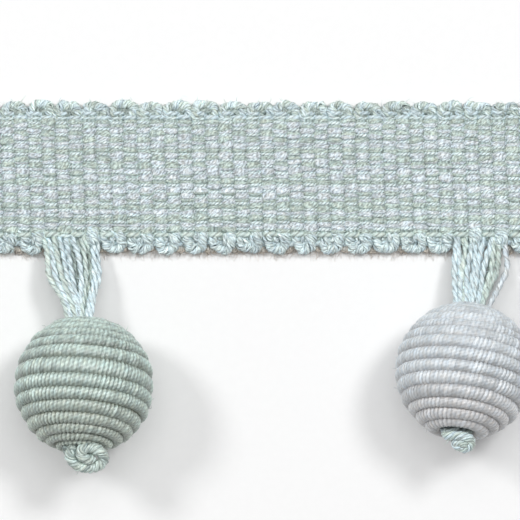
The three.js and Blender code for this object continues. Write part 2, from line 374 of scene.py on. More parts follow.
def fuzz(shape, count, length, facing=-1.0):
    """Loose fibres that stand out from the yarns of a shape, each with the tint of the yarn under it.

    They grow where the yarns' surface looks up by more than facing, from -1 for all of it to 1.
    """
    roots = rng.choice(np.flatnonzero(shape["out"][:, 2] >= facing), count)
    out = shape["out"][roots]
    drift = unit(rng.normal(size=(count, 3)))
    half = 0.5 * length * rng.uniform(0.4, 1.6, (count, 1))
    start = shape["points"][roots] - FIBRE * out
    middle = start + half * unit(0.6 * out + drift)
    end = middle + half * unit(0.3 * out + drift + 0.8 * rng.normal(size=(count, 3)))
    return fibres(np.stack([start, middle, end], axis=1), FIBRE_GLOW * shape["tint"][roots], FIBRE)


STRETCH = 37.0  # how far apart the yarn patterns of two tubes are


def add_piece(name, shape, material, node):
    """A mesh object that rides on the trim, with its yarn coordinates, its bake map and its tints."""
    mesh = bpy.data.meshes.new(name)
    # What reaches the floor is pressed flat there.
    low = [-np.inf, -np.inf, FLOOR_CLEARANCE]
    mesh.from_pydata(np.maximum(shape["points"], low) * MM, [], shape["quads"])
    mesh.shade_smooth()
    # Each tube has its own stretch of the yarn pattern, and its own strip of the bake map.
    along, around = shape["uv"][..., 0], shape["uv"][..., 1]
    tube = shape["tube"][:, None]
    yarn = np.stack([along + tube * STRETCH, around], axis=-1)
    strip = np.stack([along / along.max(), (tube + around) / shape["tubes"]], axis=-1)
    for layer_name, corners in (("Yarn", yarn), ("OFBake", strip)):
        layer = mesh.uv_layers.new(name=layer_name)
        layer.uv.foreach_set("vector", corners.astype(np.float32).ravel())
    tint = mesh.attributes.new("tint", "FLOAT_COLOR", "POINT")
    opaque = np.ones((len(shape["tint"]), 1))
    tint.data.foreach_set("color", np.hstack([shape["tint"], opaque]).astype(np.float32).ravel())
    mesh.materials.append(material)
    piece = bpy.data.objects.new(name, mesh)
    bpy.context.collection.objects.link(piece)
    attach(piece, "root")
    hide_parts(node)
    return piece


HUE_SPREAD = 0.05  # how much warmer and cooler than its tint a yarn's fibres are


class Graph:
    """The nodes of one material."""

    def __init__(self, name, roughness, sheen=0.0, specular=0.5):
        self.material = bpy.data.materials.new(name)
        self.material.use_nodes = True
        self.tree = self.material.node_tree
        self.shader = self.tree.nodes["Principled BSDF"]
        self.shader.inputs["Roughness"].default_value = roughness
        self.shader.inputs["Sheen Weight"].default_value = sheen
        self.shader.inputs["Sheen Roughness"].default_value = 0.4
        self.shader.inputs["Specular IOR Level"].default_value = specular

    def add(self, kind, inputs, **settings):
        node = self.tree.nodes.new("ShaderNode" + kind)
        for key, value in settings.items():
            setattr(node, key, value)
        for key, value in inputs.items():
            if isinstance(value, bpy.types.NodeSocket):
                self.tree.links.new(value, node.inputs[key])
            else:
                node.inputs[key].default_value = value
        return node

    def math(self, operation, first, second=0.0, third=0.0):
        return self.add("Math", {0: first, 1: second, 2: third}, operation=operation).outputs[0]

    def noise(self, vector, scale, detail=2.0):
        inputs = {"Vector": vector, "Scale": scale, "Detail": detail}
        return self.add("TexNoise", inputs).outputs["Fac"]

    def ranged(self, value, low, high, to_low, to_high):
        inputs = {"Value": value, "From Min": low, "From Max": high, "To Min": to_low, "To Max": to_high}
        return self.add("MapRange", inputs).outputs["Result"]

    def tinted(self, shade, warmth):
        """The shader's base colour: the mesh's own tint, times shade, and warmer by warmth."""
        tint = self.add("Attribute", {}, attribute_name="tint").outputs["Color"]
        warmer = self.ranged(warmth, 0.3, 0.7, 1 - HUE_SPREAD, 1 + HUE_SPREAD)
        cooler = self.ranged(warmth, 0.3, 0.7, 1 + HUE_SPREAD, 1 - HUE_SPREAD)
        red = self.math("MULTIPLY", shade, warmer)
        blue = self.math("MULTIPLY", shade, cooler)
        factors = self.add("CombineXYZ", {"X": red, "Y": shade, "Z": blue}).outputs["Vector"]
        colour = self.add("VectorMath", {0: tint, 1: factors}, operation="MULTIPLY").outputs[0]
        self.tree.links.new(colour, self.shader.inputs["Base Color"])

    def bump(self, height, distance, strength=1.0):
        inputs = {"Height": height, "Distance": distance * MM, "Strength": strength}
        normal = self.add("Bump", inputs).outputs["Normal"]
        self.tree.links.new(normal, self.shader.inputs["Normal"])

    def yarn_place(self):
        """How far along its yarn and around it a point is, in millimetres and turns."""
        place = self.add("UVMap", {}, uv_map="Yarn").outputs["UV"]
        split = self.add("SeparateXYZ", {"Vector": place})
        return split.outputs["X"], split.outputs["Y"]

    def fibres(self, along, around, turns_per_mm, along_scale, around_scale):
        """Streaks of fibre that run along a yarn and wind slowly around it."""
        wound = self.math("MULTIPLY_ADD", along, turns_per_mm, around)
        stretched = self.math("MULTIPLY", along, along_scale)
        across = self.math("MULTIPLY", wound, around_scale)
        vector = self.add("CombineXYZ", {"X": stretched, "Y": across}).outputs["Vector"]
        return self.noise(vector, 1.0, 3.0)


def soft_yarn():
    """Loosely spun yarn: soft tufts of fibre, hardly twisted, with a matt surface."""
    graph = Graph("soft_yarn", roughness=0.8, sheen=0.25, specular=0.3)
    along, around = graph.yarn_place()
    tufts = graph.fibres(along, around, turns_per_mm=0.25, along_scale=2.6, around_scale=8.0)
    hairs = graph.fibres(along, around, turns_per_mm=0.25, along_scale=3.6, around_scale=14.0)
    hue = graph.fibres(along, around, turns_per_mm=0.1, along_scale=1.7, around_scale=5.0)
    mixed = graph.math("ADD", graph.math("MULTIPLY", tufts, 0.45), graph.math("MULTIPLY", hairs, 0.55))
    graph.tinted(graph.ranged(mixed, 0.41, 0.59, 0.5, 1.42), hue)
    graph.bump(mixed, distance=0.3)
    return graph.material


def twisted_yarn(name, lay, roughness, crease, shine, contrast):
    """Yarn of two plies: creases wind around it, darkened as painted shade, and fibres run along each ply."""
    graph = Graph(name, roughness=roughness, sheen=0.15, specular=shine)
    along, around = graph.yarn_place()
    wound = graph.math("MULTIPLY_ADD", along, 1 / lay, around)
    ply = graph.math("ABSOLUTE", graph.math("SINE", graph.math("MULTIPLY", wound, 2 * math.pi)))
    streaks = graph.fibres(along, around, turns_per_mm=1 / lay, along_scale=1.4, around_scale=10.0)
    hue = graph.fibres(along, around, turns_per_mm=1 / lay, along_scale=0.7, around_scale=4.0)
    # painted shade in the creases between the plies
    creased = graph.ranged(ply, 0.0, 0.6, crease, 1.0)
    fibre = graph.ranged(streaks, 0.32, 0.68, 1 - contrast, 1 + contrast)
    graph.tinted(graph.math("MULTIPLY", creased, fibre), hue)
    height = graph.math("ADD", graph.math("MULTIPLY", ply, 1.5), streaks)
    graph.bump(height, distance=0.09)
    return graph.material


def gimp_thread(name, contrast):
    """Fine thread wound closely over a cord: its fibres run around the cord and its plies slant."""
    graph = Graph(name, roughness=0.34, sheen=0.15, specular=1.0)
    along, around = graph.yarn_place()
    threads = graph.fibres(along, around, turns_per_mm=0.0, along_scale=7.0, around_scale=9.0)
    hue = graph.fibres(along, around, turns_per_mm=0.0, along_scale=2.0, around_scale=5.0)
    lean = graph.math("MULTIPLY_ADD", along, 0.9, graph.math("MULTIPLY", around, 8.0))
    plies = graph.math("SINE", graph.math("MULTIPLY", lean, 2 * math.pi))
    height = graph.math("ADD", threads, graph.math("MULTIPLY", plies, 0.12))
    graph.tinted(graph.ranged(height, 0.25, 0.75, 1 - contrast, 1 + 0.8 * contrast), hue)
    graph.bump(height, distance=0.1, strength=0.9)
    return graph.material


def loose_fibre():
    """Single fibres, lighter and darker along their length."""
    graph = Graph("loose_fibre", roughness=0.5, sheen=0.2)
    along, around = graph.yarn_place()
    hue = graph.fibres(along, around, turns_per_mm=0.0, along_scale=1.5, around_scale=2.0)
    graph.tinted(graph.ranged(hue, 0.3, 0.7, 0.8, 1.2), hue)
    return graph.material


def floor_paper():
    """Plain pale paper with a faint grain."""
    graph = Graph("floor_paper", roughness=0.9, specular=0.1)
    place = graph.add("TexCoord", {}).outputs["Object"]
    grain = graph.noise(place, 900.0, 2.0)
    shade = graph.ranged(grain, 0.3, 0.7, 0.925, 0.935)
    colour = graph.add("CombineColor", {"Red": shade, "Green": shade, "Blue": shade}).outputs["Color"]
    graph.tree.links.new(colour, graph.shader.inputs["Base Color"])
    return graph.material


def rib_shift(y):
    """How far the ribs lean along X at a place across the heading."""
    return -LEAN_OFFSET - LEAN_SHIFT * np.tanh(y / LEAN_REACH)


def weave_lift(ribs, row, flatness=1.7):
    """How high a warp end lies, from -1 under a rib to 1 over it. Even rows go over even ribs."""
    wave = np.cos(math.pi * (ribs - 0.5 + row))
    return np.tanh(flatness * wave) / math.tanh(flatness)


def dipping(lift):
    """Painted shade along a warp end: darker where it dips into the crease between two ribs."""
    return 1 - DIP_SHADE * (1 - np.abs(lift))


def rib_places():
    """Even places along the heading, counted in ribs from its middle."""
    return np.linspace(-RIBS / 2, RIBS / 2, RIBS * STEPS_PER_RIB + 1)


GROUND_VALLEY = 0.22  # half the ground's thickness between two ribs
GROUND_RISE = 0.52  # how much more it is on a rib
GROUND_COLUMNS = 7


def heading_ground():
    """The weft inside the heading: a ribbed slab, one rib for each pass."""
    ribs = rib_places()
    half = GROUND_VALLEY + GROUND_RISE * np.abs(np.sin(math.pi * ribs)) ** 0.6
    edge = HALF_WARP - GROUND_INSET
    ys = np.linspace(-edge, edge, GROUND_COLUMNS)
    x = ribs[:, None] * RIB + rib_shift(ys)
    ring_y = np.concatenate([ys, ys[::-1]])
    ring_x = np.concatenate([x, x[:, ::-1]], axis=1)
    ring_z = MIDDLE_Z + half[:, None] * np.repeat([-1.0, 1.0], GROUND_COLUMNS)
    points = np.stack([ring_x, np.broadcast_to(ring_y, ring_x.shape), ring_z], axis=-1)
    steps, sides = ring_x.shape
    index = np.arange(steps * sides).reshape(steps, sides)
    beside = np.roll(index, -1, axis=1)
    walls = np.stack([index[:-1], beside[:-1], beside[1:], index[1:]], axis=-1).reshape(-1, 4)
    ends = [(k, sides - 1 - k, sides - 2 - k, k + 1) for k in range(sides // 2 - 1)]
    start = index[0][np.array(ends)]
    end = index[-1][np.array(ends)][:, ::-1]
    quads = np.concatenate([walls, start, end])
    flat = points.reshape(-1, 3)
    around = np.arange(sides) / sides
    place = np.stack([flat[:, 0] - flat[:, 0].min(), np.tile(around, steps)], axis=1)
    uv = place[quads]
    uv[:, 1:3, 1] = np.where(uv[:, 1:3, 1] < uv[:, :1, 1] - 0.5, 1.0, uv[:, 1:3, 1])
    return {
        "points": flat,
        "quads": quads,
        "uv": uv,
        "tube": np.zeros(len(quads), int),
        "tubes": 1,
        "tint": np.broadcast_to(YARN["ground"], flat.shape),
    }


def row_places():
    """The places of the warp rows across the heading."""
    return (np.arange(ROWS) - (ROWS - 1) / 2) * ROW


SOFT_HALF = 0.68  # half the width of a soft warp row over a rib
SOFT_GRIP = 0.52  # its share of that where it dips
SOFT_RISE = 0.7  # how far it goes up and down
SOFT_OVERLAP = 1.25  # how far its two strands reach into each other


def soft_warps():
    """The soft warp rows: in each a sage and a lilac strand lie side by side and at times change places."""
    ribs = rib_places()
    steps = len(ribs)
    rows = np.arange(ROWS)[:, None]
    lift = weave_lift(ribs, rows)
    grip = SOFT_GRIP + (1 - SOFT_GRIP) * np.abs(lift) ** 0.5
    half = SOFT_HALF * grip * (1 + 0.12 * wander(ROWS, steps, STEPS_PER_RIB))
    own_share = 0.08 * rng.normal(size=(ROWS, 1)) + 0.11 * wander(ROWS, steps, 40)
    share = np.clip(0.5 + own_share + 0.11 * wander(ROWS, steps, STEPS_PER_RIB), 0.2, 0.8)
    swap = math.pi * rng.integers(0, 2, (ROWS, 1)) + 0.6 * wander(ROWS, steps, 50)
    base_y = row_places()[:, None] + 0.05 * wander(ROWS, steps, 12)
    strands = {}
    for sign, name in ((1, "sage"), (-1, "lilac")):
        own = share if sign > 0 else 1 - share
        y = base_y + sign * np.cos(swap) * half * (1 - own)
        z = MIDDLE_Z + SOFT_RISE * lift + sign * 0.12 * np.sin(swap) + 0.04 * wander(ROWS, steps, 6)
        x = ribs * RIB + rib_shift(base_y)
        paths = np.stack([x, y, z], axis=-1)
        thick = 0.27 + 0.14 * own
        glow = 1 + 0.04 * wander(ROWS, steps, 4) + 0.03 * wander(ROWS, steps, 50)
        section = even_section(6)
        # Painted light and shade: the side of each soft strand towards the balls is lighter, the other side
        # darker.
        flanks = 1 - FLANK_GLOW * np.cos(section)
        tint = YARN[name] * (glow * dipping(lift))[..., None, None] * flanks[:, None]
        strands[name] = sweep(paths, SOFT_OVERLAP * half * own, thick, section, tint, guide=UP)
    return strands


SHINY_RADIUS = 0.24
SHINY_RISE = 0.8


def shiny_warps():
    """The thin twisted warp ends, which go over the ribs that the soft ends go under."""
    ribs = rib_places()
    steps = len(ribs)
    rows = np.arange(ROWS)[:, None]
    lift = weave_lift(ribs, rows + 1, 1.0)
    y = row_places()[:, None] + 0.08 * wander(ROWS, steps, 9)
    z = MIDDLE_Z + SHINY_RISE * lift + 0.03 * wander(ROWS, steps, 6)
    paths = np.stack([ribs * RIB + rib_shift(y), y, z], axis=-1)
    radius = SHINY_RADIUS * (1 + 0.1 * wander(ROWS, steps, 5))
    tint = YARN["silk"] * ((1 + 0.06 * wander(ROWS, steps, 9)) * dipping(lift))[..., None, None]
    return sweep(paths, radius, radius, even_section(6), tint, guide=UP)


EDGE_LAY = 1.5  # length of one turn of the twist of the yarns along the edges
EDGE_PLY = 0.16
EDGE_RISE = 0.62
EDGE_WARPS = [
    # edge, distance in from it, ribs it goes over (1 odd, 0 even), radius, yarn
    (1, 0.10, 0, 0.30, "pale"),
    (1, 0.67, 1, 0.33, "pale"),
    (1, 0.75, 0, 0.22, "white"),
    (-1, 0.60, 1, 0.40, "mint"),
    (-1, 0.50, 0, 0.27, "white"),
]


def edge_columns(table):
    """The columns of a table of edge yarns: its numbers, and the colours of its yarns last."""
    numbers = np.array([row[:-1] for row in table], float)
    return *numbers.T[..., None], np.array([YARN[row[-1]] for row in table])


def edge_warps():
    """The outermost warp ends along each edge: thicker twisted yarns, each over every other rib."""
    ribs = rib_places()
    steps = len(ribs)
    count = len(EDGE_WARPS)
    edge, inset, parity, radius, base = edge_columns(EDGE_WARPS)
    lift = weave_lift(ribs, parity)
    y = edge * (HALF_WARP - inset) + 0.05 * wander(count, steps, 20)
    z = MIDDLE_Z + EDGE_RISE * lift
    paths = np.stack([ribs * RIB + rib_shift(y), y, z], axis=-1)
    width = radius * (1 + 0.06 * wander(count, steps, 8))
    tint = base[:, None, None] * (1 + 0.05 * wander(count, steps, 15))[..., None, None]
    twist = -2 * math.pi * lengths(paths) / EDGE_LAY
    return sweep(paths, width, width, ROUND, tint, guide=UP, twist=twist, ply=EDGE_PLY)


EDGE_CORDS = [
    # edge, distance out from the warp, height over the middle, radius, yarn
    # the upper cord's shade yarn is painted shade between the loops' legs
    (1, 0.15, -0.15, 0.4, "shade"),
    (-1, -0.1, -0.2, 0.42, "mint"),
    (-1, 0.6, -0.25, 0.42, "pale"),
]


def edge_cords():
    """Straight yarns along the edges, which the loops turn around."""
    steps_per_rib = 5
    steps = RIBS * steps_per_rib + 1
    count = len(EDGE_CORDS)
    x = np.linspace(-0.5, 0.5, steps) * RIBS * RIB
    edge, out, rise, radius, base = edge_columns(EDGE_CORDS)
    y = edge * (HALF_WARP + out) + 0.08 * wander(count, steps, 9)
    z = MIDDLE_Z + rise + 0.1 * wander(count, steps, 7)
    paths = np.stack([np.broadcast_to(x, y.shape) + rib_shift(y), y, z], axis=-1)
    tint = base[:, None, None] * (1 + 0.08 * wander(count, steps, 5))[..., None, None]
    twist = -2 * math.pi * lengths(paths) / EDGE_LAY
    return sweep(paths, radius, radius, ROUND, tint, guide=UP, twist=twist, ply=EDGE_PLY)


def twisted(ropes, count, thick, lay, guide=None):
    """The middle lines of the strands twisted around each rope, strand after strand, and their radius."""
    side, over = frames_along(ropes, guide)[1:]
    nip = math.sin(math.pi / count)
    radius = thick * nip / (1 + nip)
    start = rng.random((len(ropes), 1))
    strands = []
    for strand in range(count):
        angle = -2 * math.pi * (lengths(ropes) / lay + start + strand / count)
        offset = np.cos(angle)[..., None] * side + np.sin(angle)[..., None] * over
        strands.append(ropes + (thick - radius) * offset)
    return np.concatenate(strands), radius


LOOP_ROPE = 0.64  # radius of the rope of a loop
LOOP_FILLING = 0.44  # and of the thinner one inside it
FILLING_SHARE = 0.36  # how wide and far out that one is, as a share of the loop
LOOP_TWIST = 2.6  # length of one turn of the rope's twist
LOOP_LAY = 1.7  # and of the twist of each of its strands
LOOP_OVERLAP = 1.12  # how far those strands reach into each other
LOOP_PLY = 0.2
LOOP_STRAY = 0.09
LOOP_STEPS = 32
LOOP_JITTER = [0.11, 0.1, 0.08]
UNDERSIDE_SHARE = {1: 0.5, -1: 0.2}  # how far the strands under the loops of each edge are in shade
RIM_GLOW = {1: 0.3, -1: 0.0}  # painted highlight: how much lighter the outermost strands of an edge are
SHOULDER = {1: 0.99, -1: 0.93}  # how far out the shoulders of a loop are, as a share of its reach
# Painted shadow: the colours of the tufts between the bottom loops, on their inner and outer sides
TUFT_SHADOW_INNER = srgb(208, 208, 200)
TUFT_SHADOW_OUTER = srgb(200, 190, 179)
TUFT_HALF = 0.8  # half the length of a tuft along the edge
TUFT_OUT = 1.35  # how far out from the warp it lies
TUFT_Z = 0.45
TUFT_WIDTH = 0.55
TUFT_HEIGHT = 0.35
SHADOW_FIBRE_COUNT = 1500


def arches(edge, spread, height, rise, middles, high_leg):
    """Middle lines of arches along one edge, which come out of the heading and go back into it."""
    controls = []
    for middle in middles:
        half = spread * (1 + 0.08 * rng.normal())
        top = height * (1 + 0.06 * rng.normal())
        outline = np.array([
            # across, out, height of the leg that lies high, height of the low leg
            (-half, -1.3, -0.15, -0.2),
            (-half, -0.1, 0.45, 0.0),
            (-half, 0.5 * top, 0.25, -0.1),
            (-0.75 * half, SHOULDER[edge] * top, 0.0, -0.15),
            (0.0, top, -0.2, -0.2),
            (0.75 * half, SHOULDER[edge] * top, -0.15, 0.0),
            (half, 0.5 * top, -0.1, 0.25),
            (half, -0.1, 0.0, 0.45),
            (half, -1.3, -0.2, -0.15),
        ])
        jitter = rng.normal(size=(len(outline), 3)) * LOOP_JITTER
        y = edge * (HALF_WARP + outline[:, 1])
        x = middle * RIB + outline[:, 0] + rib_shift(y)
        z = MIDDLE_Z + rise + outline[:, 3 if high_leg > 0 else 2]
        controls.append(np.stack([x, y, z], axis=1) + jitter)
    return smooth(np.array(controls), LOOP_STEPS)


def edge_loops(middles, edge, reach, breadth, rise, high_leg, yarns, filling):
    """The weft's turns along one edge: for each middle an arch of twisted rope with a thinner one inside it.

    breadth is half the width of a loop, in ribs, and rise lifts the loops. high_leg is 1 where an arch's
    right leg comes out over the edge, and -1 where its left leg does. Strands on the underside are in shade.
    """
    spread = breadth * RIB - LOOP_ROPE
    height = reach - LOOP_ROPE
    parts = []
    for share, thick, names in ((1.0, LOOP_ROPE, yarns), (FILLING_SHARE, LOOP_FILLING, filling)):
        ropes = arches(edge, share * spread, share * height, rise, middles, high_leg)
        paths, radius = twisted(ropes, len(names), thick, LOOP_TWIST, guide=UP)
        count, steps = paths.shape[:2]
        below = (np.tile(ropes, (len(names), 1, 1)) - paths)[..., 2] / (thick - radius)
        shaded = UNDERSIDE_SHARE[edge] * np.clip((below + 0.5) / 1.5, 0, 1)[..., None]
        paths = paths + LOOP_STRAY * np.stack([wander(count, steps, 5) for _ in range(3)], axis=-1)
        own = np.repeat([YARN[name] for name in names], len(ropes), axis=0)[:, None]
        own = own * (1 + 0.07 * rng.normal(size=(count, 1)) + 0.08 * wander(count, steps, 5))[..., None]
        tint = own + (UNDERSIDE[edge] - own) * shaded
        out = edge * paths[..., 1] - HALF_WARP
        tint = tint * (1 + RIM_GLOW[edge] * np.clip(2 * (out - reach) + 1.2, 0, 1)[..., None])
        twist = -2 * math.pi * (lengths(paths) / LOOP_LAY + rng.random((count, 1)))
        width = LOOP_OVERLAP * radius * (1 + 0.09 * wander(count, steps, 6))
        tint = tint[:, :, None]
        parts.append(sweep(paths, width, width, even_section(6), tint, guide=UP, twist=twist, ply=LOOP_PLY))
    return join(parts)


def edge_shadow_tufts(middles):
    """Tufts of yarn in the gaps between the bottom loops, coloured as painted shadow, browner away from the
    heading.
    """
    count, steps = len(middles), 12
    along = np.linspace(-TUFT_HALF, TUFT_HALF, steps)
    x = np.array(middles)[:, None] * RIB + along + 0.15 * rng.normal(size=(count, 1))
    out = TUFT_OUT + 0.1 * rng.normal(size=(count, 1)) + 0.1 * wander(count, steps, 3)
    y = -HALF_WARP - out
    paths = np.stack([x + rib_shift(y), y, np.full_like(y, TUFT_Z)], axis=-1)
    full = np.sqrt(1.02 - (along / TUFT_HALF) ** 2) * (1 + 0.2 * wander(count, steps, 2))
    outer = 0.5 - 0.5 * np.cos(ROUND)
    tint = TUFT_SHADOW_INNER + outer[:, None] * (TUFT_SHADOW_OUTER - TUFT_SHADOW_INNER)
    tint = tint * (1 + 0.1 * rng.normal(size=(count, 1, 1, 1)))
    return sweep(paths, TUFT_WIDTH * full, TUFT_HEIGHT * full, ROUND, tint, guide=UP)


def edge_shadow_fibres():
    """Fine fibres under the bottom loops, coloured as painted shadow, which show between and beyond them as a
    soft brown edge.
    """
    x = rng.uniform(-0.5, 0.5, SHADOW_FIBRE_COUNT) * RIBS * RIB
    drift = 0.8 * rng.normal(size=SHADOW_FIBRE_COUNT)
    tip = rng.uniform(1.7, 3.2, SHADOW_FIBRE_COUNT)
    places = [
        # along the heading, out from the warp, height
        (x, 0.7, 0.5),
        (x + drift, 1.3, 0.35),
        (x + 2 * drift, tip, 0.12),
    ]
    controls = [np.stack(np.broadcast_arrays(along, -HALF_WARP - out, z), axis=1) for along, out, z in places]
    shade = rng.uniform(0.8, 1.2, (SHADOW_FIBRE_COUNT, 1))
    return fibres(np.stack(controls, axis=1), YARN["painted_shadow"] * shade, 0.5 * FIBRE)


def ball_place(name):
    """A ball's radius and middle, from its solid."""
    low, high = (np.array(corner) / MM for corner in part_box(f"ball_{name}"))
    radius = (high[0] - low[0]) / 2
    return radius, np.array([(low[0] + high[0]) / 2, (low[1] + high[1]) / 2, high[2] - radius])


def ball_axes(tilt, lean):
    """The line from a ball's upper mouth to its lower one, a direction to its right and one over it."""
    tilt, lean = math.radians(tilt), math.radians(lean)
    axis = np.array([math.sin(lean) * math.cos(tilt), -math.cos(lean) * math.cos(tilt), math.sin(tilt)])
    side = unit(np.cross(UP, axis))
    return axis, side, np.cross(axis, side)


def wound_ball(name):
    """One cord wound in a spiral from mouth to mouth, itself wrapped with thread.

    The cord's rings come in sets, one for each turn of the thread, and rise to its crest and fall to the gap.
    """
    radius, middle = ball_place(name)
    axis, side, over = ball_axes(COIL_TILT[name], COIL_LEAN[name])
    gaps = np.radians(COIL_GAPS[name])
    turns = np.linspace(CORD_START, CORD_END[name], CORD_STEPS)
    polar = np.interp(turns + 0.5, np.arange(len(gaps)), gaps) + CORD_WOBBLE * wander(1, CORD_STEPS, 150)[0]
    spin = math.pi / 2 - 2 * math.pi * turns
    reach = radius - CORD_HEIGHT + 0.05 * wander(1, CORD_STEPS, 140)[0]
    outward = np.cos(spin)[:, None] * side + np.sin(spin)[:, None] * over
    radial = np.sin(polar)[:, None] * outward - np.cos(polar)[:, None] * axis
    fine = (middle + reach[:, None] * radial)[None]

    total = lengths(fine)[0, -1]
    wraps = int(total / WRAP_PITCH)
    steps = wraps * WRAP_RINGS
    paths = evenly(fine, steps)
    away = unit(paths - middle)
    along_turns = np.interp(lengths(paths)[0], lengths(fine)[0], turns)
    pitch = np.interp(along_turns, np.arange(len(gaps) - 1), np.diff(gaps)) * radius
    phase = np.arange(steps) % WRAP_RINGS / WRAP_RINGS
    crest = np.sin(math.pi * phase)
    thread = rng.normal(size=wraps).repeat(WRAP_RINGS)
    at = np.interp(along_turns + 0.5, np.arange(len(gaps)), gaps)
    run = WRAP_RUN * WRAP_RINGS
    nearby = np.full(run, 1 / run)
    unevenness = np.clip(1 + WRAP_UNEVEN * np.convolve(thread, nearby, "same"), 0.4, 1.4)
    plain = unevenness * np.interp(at, BAND_TURNS, WRAP_SHARE)
    relief = WRAP_HEIGHT[name] * plain * (1 + 0.35 * thread) * (crest - 0.6) + 0.03 * wander(1, steps, 30)[0]
    from_end = np.minimum(np.arange(steps), np.arange(steps)[::-1])
    taper = np.clip(from_end / (CORD_TAPER * WRAP_RINGS), 0.3, 1)
    width = (np.interp(at, BAND_TURNS, CORD_OVERLAP) * pitch / 2 + relief) * taper
    height = (CORD_HEIGHT + relief) * taper

    across = (1 - np.cos(CORD_SECTION)) / 2
    # Painted highlight on the crest of each turn of thread and in a band along each turn of cord, and painted
    # shade in the crevices between turns
    place = np.interp(at, BAND_TURNS, BAND_PLACES) + 0.05 * rng.normal(size=wraps).repeat(WRAP_RINGS)
    band = 0.5 + 0.5 * np.cos(2 * math.pi * (across - place[:, None]))
    flank = np.clip(np.abs(np.cos(CORD_SECTION)) - CORD_FLANK, 0, 1) / (1 - CORD_FLANK)
    crevice = np.interp(at, BAND_TURNS, CREVICE[name])[:, None] * flank
    glow = 1 + 0.09 * thread + 0.05 * wander(1, steps, 60)[0]
    ridge = WRAP_GLOW[name] * (plain * (crest - 0.65))[:, None] * (0.15 + 0.55 * band)
    glow = glow[:, None] + ridge + np.interp(at, BAND_TURNS, BAND[name])[:, None] * (band - 0.58)
    high, low = (np.clip((at - begin) / (full - begin), 0, 1) for begin, full in (HIGH_TURNS, LOW_TURNS))
    glow = glow * (1 - HIGH_SHADE[name] * high[:, None])
    lit = BALL_COLOUR[name] * (1 - LOW_SHADE * low[:, None, None]) * glow[None, :, :, None]
    tint = lit + (BALL_CREVICE[name] - lit) * crevice[..., None]
    return sweep(paths, width, height, CORD_SECTION, tint, guide=away,
                 slant=WRAP_SLANT, fullness=CORD_FULLNESS)


def skein_strands(name):
    """The strands of one skein, from inside the heading's edge to inside the ball's mouth."""
    radius, middle = ball_place(name)
    axis, side, over = ball_axes(DROPS[name]["tilt"], DROPS[name]["lean"])
    root_x = DROPS[name]["root_rib"] * RIB
    mouth = middle - axis * (radius - UPPER_MOUTH_DEPTH)
    controls = []
    for root, halfway, neck, lift, _ in STRANDS[name]:
        start_y = -HALF_WARP
        end = mouth - 1.6 * axis
        end_x = root_x + neck
        fall = end[1] - start_y
        raised = STRAND_LIFT * lift
        arched = raised + DROPS[name]["arch"] * (0.5 - root / SKEIN_WIDTH)
        inside = mouth + np.clip((end_x - end[0]) * 0.6, -1.5, 1.5) * side + raised * over + 1.5 * axis
        controls.append([
            # inside the heading, at its edge, then down to the ball, at its mouth and inside it
            (root_x + root, start_y + 1.5, MIDDLE_Z),
            (root_x + root, start_y - 0.2, MIDDLE_Z + 0.35 + 0.2 * lift),
            (root_x + root + 0.45 * (halfway - root), start_y + 0.22 * fall, MIDDLE_Z + 0.9 + arched),
            (root_x + halfway, start_y + 0.52 * fall, MIDDLE_Z + 0.42 * (end[2] - MIDDLE_Z) + arched),
            (root_x + neck + 0.35 * (halfway - neck), start_y + 0.8 * fall, 0.74 * end[2] + arched),
            (end_x, end[1], end[2] + raised),
            inside,
        ])
    controls = np.array(controls)
    controls = controls + rng.normal(size=controls.shape) * STRAND_STRAY
    paths = smooth(controls, STRAND_STEPS)
    count, steps = paths.shape[:2]
    first = rng.random((count, 1))
    twist = -2 * math.pi * (lengths(paths) / STRAND_LAY + first + 0.1 * wander(count, steps, 25))
    width = STRAND_RADIUS * (1 + 0.07 * wander(count, steps, 12))
    base = np.array([YARN[row[-1]] for row in STRANDS[name]])
    tint = base[:, None, None] * (1 + 0.07 * wander(count, steps, 8))[..., None, None]
    return sweep(paths, width, width, even_section(10), tint, twist=twist, ply=STRAND_PLY)


def knot(name):
    """The skein's end: its strands leave the ball's mouth, gather into a rope and are curled up below it."""
    radius, middle = ball_place(name)
    axis, side, over = ball_axes(COIL_TILT[name], COIL_LEAN[name])
    places = np.array(KNOT_ROPES[name]) + middle
    names = KNOT_YARNS[name]
    rope = smooth(places[None], KNOT_STEPS)
    curled, strand = twisted(rope, len(names), KNOT_RADIUS[name], KNOT_LAY[name])

    mouth = middle + axis * (radius - MOUTH_DEPTH[name])
    gathered = []
    for k in range(MOUTH_STRANDS):
        out = MOUTH_RADIUS[name] * math.sqrt((k + 0.5) / MOUTH_STRANDS)
        offset = out * (math.cos(GOLDEN_ANGLE * k) * side + math.sin(GOLDEN_ANGLE * k) * over)
        gathered.append([mouth - 2.0 * axis + offset, mouth + 0.9 * offset, places[1] + 0.4 * offset])
    gathered = smooth(np.array(gathered), MOUTH_STEPS)
    kinds = ((curled, KNOT_OVERLAP * strand, 1.0), (gathered, STRAND_RADIUS, MOUTH_SHADE[name]))
    parts = []
    for paths, thick, shade in kinds:
        count, steps = paths.shape[:2]
        twist = -2 * math.pi * (lengths(paths) / KNOT_STRAND_LAY + rng.random((count, 1)))
        width = thick * (1 + 0.06 * wander(count, steps, 10))
        base = shade * np.array([YARN[names[k % len(names)]] for k in range(count)])
        tint = base[:, None, None] * (1 + 0.05 * wander(count, steps, 10))[..., None, None]
        parts.append(sweep(paths, width, width, ROUND, tint, twist=twist, ply=KNOT_PLY))
    return join(parts)


